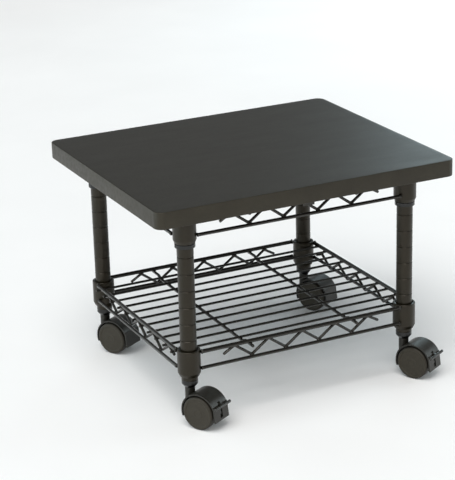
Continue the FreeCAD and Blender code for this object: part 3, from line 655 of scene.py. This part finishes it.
def truss_path(low, high, radius, along_x):
    """Zigzag of one truss before rounding: five top corners, four low ones and two free ends.

    Rounding cuts inside a corner, so the corners stand past the bends by extra, which depends on
    the slope, which depends on extra.
    """
    half = TRUSS_PITCH / 2
    top = high.z - radius
    foot = low.z + radius
    extra = 0.0
    for _ in range(20):
        slope = math.atan2(top - foot + 2 * extra, half)
        extra = TRUSS_BEND * (1 / math.cos(slope) - 1)
    top_level = top + extra
    foot_level = foot - extra
    drop = TRUSS_END_DROP if along_x else SIDE_TRUSS_END_DROP
    points = [(-TRUSS_END, top - drop)]
    for step in range(-4, 5):
        points.append((step * half, top_level if step % 2 == 0 else foot_level))
    points.append((TRUSS_END, top - drop))
    middle = (low + high) / 2
    if along_x:
        return [Vector((middle.x + reach, middle.y, level)) for reach, level in points]
    return [Vector((middle.x, middle.y + reach, level)) for reach, level in points]


def make_truss(shelf, side):
    """Bent zigzag wire with the small weld marks where its bends meet the rails."""
    name = "%s_shelf_truss_%s" % (shelf, side)
    low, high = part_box(name)
    along_x = side in ("front", "rear")
    path = truss_path(low, high, TRUSS_RADIUS, along_x)
    bm = bmesh.new()
    tube(bm, rounded_path(path, TRUSS_BEND, 8), TRUSS_RADIUS, 16, 0.5)
    middle = (low + high) / 2
    rails, rail_radius = rail_lines("%s_shelf_low_rails" % shelf)
    level = rails[0][0].z
    if along_x:
        line = rails[0][0].y if side == "front" else rails[1][0].y
    else:
        line = rails[2][0].x if side == "left" else rails[3][0].x
    for step in range(-3, 4, 2):
        reach = step * TRUSS_PITCH / 2
        if along_x:
            spot = Vector((reach, (middle.y + line) / 2, level + rail_radius * 0.75))
            weld(bm, spot, (1, 0, 0), (2.0 * MM, 2.4 * MM, 4.2 * MM))
        else:
            spot = Vector(((middle.x + line) / 2, middle.y + reach, level + rail_radius * 0.75))
            weld(bm, spot, (0, 1, 0), (2.4 * MM, 2.0 * MM, 4.2 * MM))
    for step in range(-4, 5, 2):
        reach = step * TRUSS_PITCH / 2
        if along_x:
            weld(bm, Vector((reach, middle.y, high.z - 1.0 * MM)), (1, 0, 0),
                 (2.3 * MM, 2.4 * MM, 4.6 * MM))
        else:
            weld(bm, Vector((middle.x, middle.y + reach, high.z - 0.6 * MM)), (1, 0, 0),
                 (2.2 * MM, 2.2 * MM, 3.2 * MM))
    new_piece("%s_truss_%s" % (shelf, side), bm, LOOKS["coated_wire"], "stand", [name],
              sharp=60.0)


def mat_rows(middle):
    """Places of the mat wires across the depth, about their middle."""
    return [middle + (row - (MAT_COUNT - 1) / 2) * MAT_PITCH for row in range(MAT_COUNT)]


def make_mat(shelf):
    """Cross wires of the shelf, welded under its side rails."""
    name = shelf + "_shelf_mat_wires"
    low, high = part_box(name)
    level = (low.z + high.z) / 2
    middle = (low.y + high.y) / 2
    side_rails = rail_lines("%s_shelf_top_rails" % shelf)[0][2:]
    bm = bmesh.new()
    for y in mat_rows(middle):
        tube(bm, [Vector((low.x, y, level)), Vector((high.x, y, level))], MAT_RADIUS, 14, 0.7)
        for start, end in side_rails:
            spot = Vector((start.x, y, level + MAT_RADIUS * 0.8))
            weld(bm, spot, (0, 1, 0), (2.4 * MM, 1.1 * MM, 2.9 * MM))
    new_piece(shelf + "_mat", bm, LOOKS["coated_wire"], "stand", [name], sharp=60.0)


def make_supports(shelf):
    """Two heavier wires under the mat, cranked up to the end rails and welded at each crossing."""
    name = shelf + "_shelf_support_wires"
    low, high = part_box(name)
    foot = low.z + SUPPORT_RADIUS
    top = high.z - SUPPORT_RADIUS
    middle = (low.y + high.y) / 2
    crank = (MAT_COUNT - 1) / 2 * MAT_PITCH + CRANK_GAP
    mat_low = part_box(shelf + "_shelf_mat_wires")[0]
    bm = bmesh.new()
    for x in (low.x + SUPPORT_RADIUS, high.x - SUPPORT_RADIUS):
        path = [
            Vector((x, low.y, top)),
            Vector((x, middle - crank - CRANK_RUN, top)),
            Vector((x, middle - crank, foot)),
            Vector((x, middle + crank, foot)),
            Vector((x, middle + crank + CRANK_RUN, top)),
            Vector((x, high.y, top)),
        ]
        tube(bm, rounded_path(path, SUPPORT_BEND), SUPPORT_RADIUS, 16, 0.7)
        for y in mat_rows(middle):
            weld(bm, Vector((x, y, mat_low.z)), (0, 1, 0), (2.2 * MM, 0.9 * MM, 2.6 * MM))
        for y in (low.y + SUPPORT_WELD_INSET, high.y - SUPPORT_WELD_INSET):
            weld(bm, Vector((x, y, top + SUPPORT_RADIUS * 0.9)), (1, 0, 0),
                 (1.2 * MM, 2.6 * MM, 2.8 * MM))
    new_piece(shelf + "_supports", bm, LOOKS["coated_wire"], "stand", [name],
              sharp=60.0)


# ---------------------------------------------------------------- casters


TRAIL = 25.0 * MM
WHEEL_RADIUS = 25.4 * MM
RIB_COUNT = 8
RIB_HALF = 0.6 * MM
RIB_OUTLINE = ((6.2, 17.1), (22.0, 17.1), (22.0, 11.5), (6.2, 9.6))


def caster_frame(corner, forward, level):
    """Place of a point of a caster, with X the way it trails and Y along the axle."""
    x, y = post_axis(corner)
    turn = Matrix.Rotation(math.radians(CASTER_TURN), 4, "Z")
    return Matrix.Translation((x, y, level)) @ turn @ Matrix.Translation((forward, 0.0, 0.0))


def make_wheel(corner, side):
    """Moulded wheel: dished face with a raised hub ring, eased rim, crowned tread and ribs behind."""
    name = "caster_wheel_%s_%s" % (side, corner)
    outline = [
        (0.0, 19.3 * MM, 0.0),
        (5.6 * MM, 19.3 * MM, 0.2 * MM),
        (6.0 * MM, 19.55 * MM, 0.2 * MM),
        (7.0 * MM, 19.55 * MM, 0.2 * MM),
        (7.4 * MM, 19.3 * MM, 0.2 * MM),
        (19.7 * MM, 19.3 * MM, 0.3 * MM),
        (20.5 * MM, 20.0 * MM, 0.3 * MM),
        (23.4 * MM, 20.0 * MM, 0.9 * MM),
        (25.1 * MM, 18.6 * MM, 0.9 * MM),
        (25.4 * MM, 15.0 * MM, 1.5 * MM),
        (25.4 * MM, 10.2 * MM, 0.9 * MM),
        (24.4 * MM, 8.6 * MM, 0.5 * MM),
        (21.8 * MM, 8.6 * MM, 0.4 * MM),
        (21.8 * MM, 17.0 * MM, 0.8 * MM),
        (6.5 * MM, 17.0 * MM, 0.8 * MM),
        (6.5 * MM, 8.3 * MM, 0.4 * MM),
        (2.55 * MM, 8.3 * MM, 0.2 * MM),
        (2.55 * MM, 18.3 * MM, 0.0),
        (0.0, 18.3 * MM, 0.0),
    ]
    bm = bmesh.new()
    turned(bm, soften(outline), 72)
    for k in range(RIB_COUNT):
        turn = Matrix.Rotation(math.radians(360.0 / RIB_COUNT * (k + 0.5)), 4, "Z")
        loops = []
        for half in (-RIB_HALF, RIB_HALF):
            loops.append([turn @ Vector((reach * MM, half, level * MM)) for reach, level in RIB_OUTLINE])
        loft(bm, loops)
    tilt = -90.0 if side == "right" else 90.0
    place = caster_frame(corner, TRAIL, WHEEL_RADIUS) @ Matrix.Rotation(math.radians(tilt), 4, "X")
    new_piece("wheel_%s_%s" % (side, corner), bm, LOOKS["wheel_nylon"], "wheel_%s_%s" % (side, corner),
              [name], place, sharp=40.0)


# the brake lever in its caster's frame, in millimetres: (forward, level) of its parts
LEVER_PIVOT = (43.0, 38.4)
LEVER_HUB = 3.6
LEVER_BAR = (56.2, 38.4)
LEVER_MIDDLE = (49.5, 36.0)


def make_lever(corner):
    """Brake lever: a cross bar with grip grooves on an arm that carries the brake leg."""
    name = "brake_lever_" + corner
    bm = bmesh.new()
    radius = 2.2
    outline = [(0.0, -20.0, 0.0), (1.5, -20.0, 0.7), (radius, -18.9, 0.6)]
    for level in (-16.0, -13.0, -10.0, 10.0, 13.0, 16.0):
        outline.append((radius, level - 0.45, 0.15))
        outline.append((radius - 0.25, level, 0.15))
        outline.append((radius, level + 0.45, 0.15))
    outline += [(radius, 18.9, 0.6), (1.5, 20.0, 0.7), (0.0, 20.0, 0.0)]
    outline = [(r * MM, z * MM, ease * MM) for r, z, ease in outline]
    turned(bm, soften(outline), 28)
    bar = Matrix.Translation((LEVER_BAR[0] * MM, 0.0, LEVER_BAR[1] * MM))
    bar = bar @ Matrix.Rotation(math.radians(90.0), 4, "X")
    bmesh.ops.transform(bm, matrix=bar, verts=bm.verts)
    side = []
    for k in range(9):
        a = math.radians(270.0 - 22.5 * k)
        side.append((LEVER_PIVOT[0] + LEVER_HUB * math.cos(a), LEVER_PIVOT[1] + LEVER_HUB * math.sin(a)))
    side += [(56.2, 40.2), (56.2, 36.6), (51.6, 35.6), (53.0, 24.4), (49.8, 24.4), (48.4, 34.8)]
    loops = []
    for half, inset in ((-2.0, 0.35), (-1.65, 0.0), (1.65, 0.0), (2.0, 0.35)):
        loop = []
        for x, z in side:
            pull = Vector((LEVER_MIDDLE[0] - x, LEVER_MIDDLE[1] - z)).normalized() * inset
            loop.append(Vector(((x + pull.x) * MM, half * MM, (z + pull.y) * MM)))
        loops.append(loop)
    loft(bm, loops)
    new_piece("brake_tee_" + corner, bm, LOOKS["lever_plastic"], "lever_" + corner,
              [name], caster_frame(corner, 0.0, 0.0))


# ---------------------------------------------------------------- CAD nodes that stay


MERGE_REACH = 0.01 * MM


def keep_node(name, look, ease=0.0):
    """A CAD node with its finish, and with its edges eased by modifiers if asked."""
    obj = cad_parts[name]
    obj.data.materials.clear()
    obj.data.materials.append(LOOKS[look])
    if ease > 0.0:
        join = obj.modifiers.new("join", "WELD")
        join.merge_threshold = MERGE_REACH
        bevel = obj.modifiers.new("ease", "BEVEL")
        bevel.width = ease
        bevel.segments = 3
        bevel.limit_method = "ANGLE"
        bevel.angle_limit = math.radians(32.0)
        obj.modifiers.new("normals", "WEIGHTED_NORMAL")


def finish_cad_nodes():
    """Finishes of the CAD nodes that no new piece stands for."""
    keep_node("board_brackets", "coated_wire", 0.3 * MM)
    keep_node("board_bracket_screws", "zinc_steel", 0.2 * MM)
    keep_node("post_top_caps", "sleeve_plastic", 0.2 * MM)
    keep_node("post_end_inserts", "sleeve_plastic", 0.3 * MM)
    for corner in CORNERS:
        keep_node("caster_hood_" + corner, "hood_nylon", 0.6 * MM)
        keep_node("caster_stem_" + corner, "zinc_steel")
        keep_node("caster_axle_" + corner, "zinc_steel")
    for corner in BRAKED:
        keep_node("brake_pin_" + corner, "zinc_steel")


# ---------------------------------------------------------------- stage, light and camera


FLOOR_HALF = 6.0
LIGHT_AIM = (0.0, 0.0, 0.2)
# colour of the surround by the height of a direction's unit vector: pale at the horizon
SURROUND = ((0.03, (0.80, 0.80, 0.79, 1.0)), (0.18, (0.228, 0.232, 0.236, 1.0)))


def make_stage():
    """Pale floor, the surround, a broad sky light and five soft panels round the stand."""
    bm = bmesh.new()
    bmesh.ops.create_grid(bm, x_segments=2, y_segments=2, size=FLOOR_HALF)
    mesh = bpy.data.meshes.new("studio_floor")
    bm.to_mesh(mesh)
    bm.free()
    floor = bpy.data.objects.new("studio_floor", mesh)
    bpy.context.scene.collection.objects.link(floor)
    material, tree, shader, coords = start_material("pale_floor")
    shade = noise_of(tree, coords, 3.0, 3.0, 0.5)
    tone = ramp_of(tree, shade, ((0.3, (0.90, 0.90, 0.90, 1.0)), (0.7, (0.93, 0.93, 0.93, 1.0))))
    tree.links.new(tone, shader.inputs["Base Color"])
    shader.inputs["Roughness"].default_value = 0.8
    mesh.materials.append(material)

    world = bpy.data.worlds.new("studio")
    world.use_nodes = True
    tree = world.node_tree
    parts = node(tree, "SeparateXYZ")
    tree.links.new(node(tree, "TexCoord").outputs["Generated"], parts.inputs["Vector"])
    sky = ramp_of(tree, parts.outputs["Z"], SURROUND)
    tree.links.new(sky, tree.nodes["Background"].inputs["Color"])
    bpy.context.scene.world = world

    sun = bpy.data.lights.new("sky_panel", "SUN")
    sun.energy = 2.2
    sun.color = (1.0, 0.985, 0.965)
    sun.angle = math.radians(50.0)
    sun_obj = bpy.data.objects.new("sky_panel", sun)
    sun_obj.rotation_euler = (math.radians(16.0), math.radians(-20.0), 0.0)
    bpy.context.scene.collection.objects.link(sun_obj)

    # name, place, width, power and colour
    lights = (
        ("key", (-1.0, -2.4, 1.2), 0.8, 13.0, (1.0, 0.97, 0.92)),
        ("left", (-2.6, 0.1, 0.7), 1.3, 19.0, (0.76, 0.94, 1.0)),
        ("right", (2.3, -0.7, 0.9), 1.1, 11.0, (0.82, 0.95, 1.0)),
        ("back_right", (2.2, 2.0, 0.9), 1.2, 11.0, (0.72, 0.93, 1.0)),
        ("back_left", (-2.0, 2.1, 0.9), 1.2, 10.0, (0.80, 0.95, 1.0)),
    )
    for name, spot, size, power, colour in lights:
        lamp = bpy.data.lights.new(name, "AREA")
        lamp.size = size
        lamp.energy = power
        lamp.color = colour
        obj = bpy.data.objects.new(name, lamp)
        obj.location = spot
        aim = Vector(LIGHT_AIM) - Vector(spot)
        obj.rotation_euler = aim.to_track_quat("-Z", "Y").to_euler()
        bpy.context.scene.collection.objects.link(obj)
    bpy.context.scene.view_settings.view_transform = "Standard"


def make_camera():
    """Camera with no shift, placed by its aim, distance and angles."""
    data = bpy.data.cameras.new("camera")
    data.lens = CAMERA_LENS
    data.sensor_width = 36.0
    data.clip_start = 0.05
    data.clip_end = 50.0
    camera = bpy.data.objects.new("camera", data)
    bpy.context.scene.collection.objects.link(camera)
    yaw = math.radians(CAMERA_YAW)
    pitch = math.radians(CAMERA_PITCH)
    roll = math.radians(CAMERA_ROLL)
    ahead = Vector((math.sin(yaw) * math.cos(pitch), math.cos(yaw) * math.cos(pitch), -math.sin(pitch)))
    right = Vector((math.cos(yaw), -math.sin(yaw), 0.0))
    down = ahead.cross(right)
    rolled_right = right * math.cos(roll) + down * math.sin(roll)
    rolled_down = down * math.cos(roll) - right * math.sin(roll)
    place = Matrix((rolled_right, -rolled_down, -ahead)).transposed().to_4x4()
    place.translation = Vector(CAMERA_AIM) - ahead * CAMERA_DISTANCE
    camera.matrix_world = place
    bpy.context.scene.camera = camera


random.seed(11)
make_board()
make_posts()
for shelf in SHELVES:
    make_collars(shelf)
    make_sleeves(shelf)
    for kind in ("top", "low"):
        make_rails(shelf, kind)
    for side in ("front", "rear", "left", "right"):
        make_truss(shelf, side)
    make_mat(shelf)
    make_supports(shelf)
for corner in CORNERS:
    for side in ("left", "right"):
        make_wheel(corner, side)
for corner in BRAKED:
    make_lever(corner)
finish_cad_nodes()
make_stage()
make_camera()
